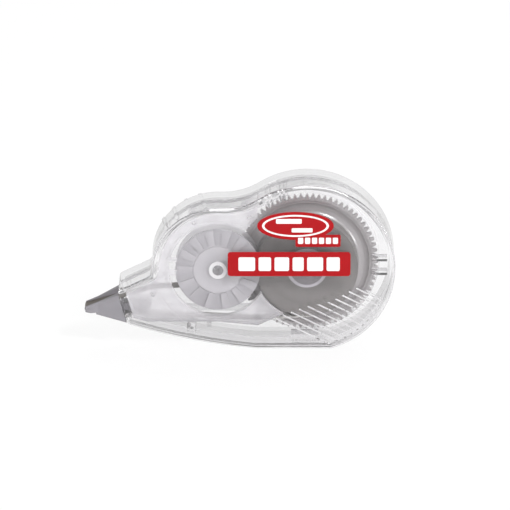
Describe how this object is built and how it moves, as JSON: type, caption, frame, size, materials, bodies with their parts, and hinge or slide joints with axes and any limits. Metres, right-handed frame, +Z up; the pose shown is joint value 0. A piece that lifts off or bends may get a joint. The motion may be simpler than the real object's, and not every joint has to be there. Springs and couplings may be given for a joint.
{
  "type": "correction tape roller",
  "caption": "Refillable correction tape roller: clear two-part casing, geared supply and take-up reels on a milky refill chassis, grey applicator tip.",
  "frame": {"origin": "middle of the bottom of the bounding box, the roller standing on its narrow bottom edge", "axes": "+X towards the big rear end, away from the tip; +Y through the thickness, away from the printed front face; +Z up"},
  "size_m": [0.09, 0.016, 0.05],
  "materials": {
    "clear_case": "clear polished polystyrene",
    "milky_plate": "milky translucent plastic",
    "grey_tip": "grey translucent plastic",
    "gear_grey": "light grey moulded plastic",
    "reel_grey": "grey moulded plastic",
    "core_lilac": "pale grey moulded plastic",
    "white_plastic": "white moulded plastic",
    "wound_tape": "edges of wound tape",
    "white_tape": "matt white coating",
    "carrier_film": "bare glassine carrier",
    "clutch_rubber": "black rubber",
    "red_print": "red printed ink",
    "white_print": "white printed ink"
  },
  "bodies": {
    "case": {"back_case": "clear_case"},
    "cover": {"front_case": "clear_case", "label_bar": "red_print", "label_oval": "red_print", "bar_marks": "white_print", "oval_marks": "white_print"},
    "cartridge": {"cartridge_back_plate": "milky_plate", "cartridge_front_plate": "milky_plate", "tip": "grey_tip", "supply_retainer": "white_plastic", "takeup_retainer": "white_plastic", "feed_tape": "white_tape", "return_tape": "carrier_film"},
    "gear": {"supply_gear": "gear_grey", "clutch_ring": "clutch_rubber"},
    "supply_reel": {"supply_core": "core_lilac", "tape_roll": "wound_tape"},
    "takeup": {"takeup_reel": "gear_grey", "takeup_flange": "reel_grey", "used_tape_roll": "carrier_film"},
    "pawl": {"ratchet_pawl": "milky_plate"}
  },
  "joints": [
    {"name": "cover_off", "type": "slide", "parent": "case", "child": "cover", "axis": [0, -1, 0], "range_m": [0, 0.045]},
    {"name": "cartridge_out", "type": "slide", "parent": "case", "child": "cartridge", "axis": [0, -1, 0], "range_m": [0, 0.0225]},
    {"name": "gear_spin", "type": "hinge", "parent": "cartridge", "child": "gear", "pos_m": [0.0195, 0, 0.0238], "axis": [0, 1, 0], "continuous": true},
    {"name": "takeup_spin", "type": "hinge", "parent": "cartridge", "child": "takeup", "pos_m": [-0.00626, 0, 0.0238], "axis": [0, 1, 0], "continuous": true},
    {"name": "clutch_slip", "type": "hinge", "parent": "gear", "child": "supply_reel", "pos_m": [0.0195, 0, 0.0238], "axis": [0, 1, 0], "continuous": true},
    {"name": "pawl_flex", "type": "hinge", "parent": "cartridge", "child": "pawl", "pos_m": [0.0027, 0, 0.0398], "axis": [0, 1, 0], "range_deg": [-6, 0], "stiffness_Nm_per_rad": 0.002}
  ],
  "couplings": [
    {"joint": "cartridge_out", "follows": "cover_off", "ratio": 0.5},
    {"joint": "takeup_spin", "follows": "gear_spin", "ratio": -3.6}
  ]
}
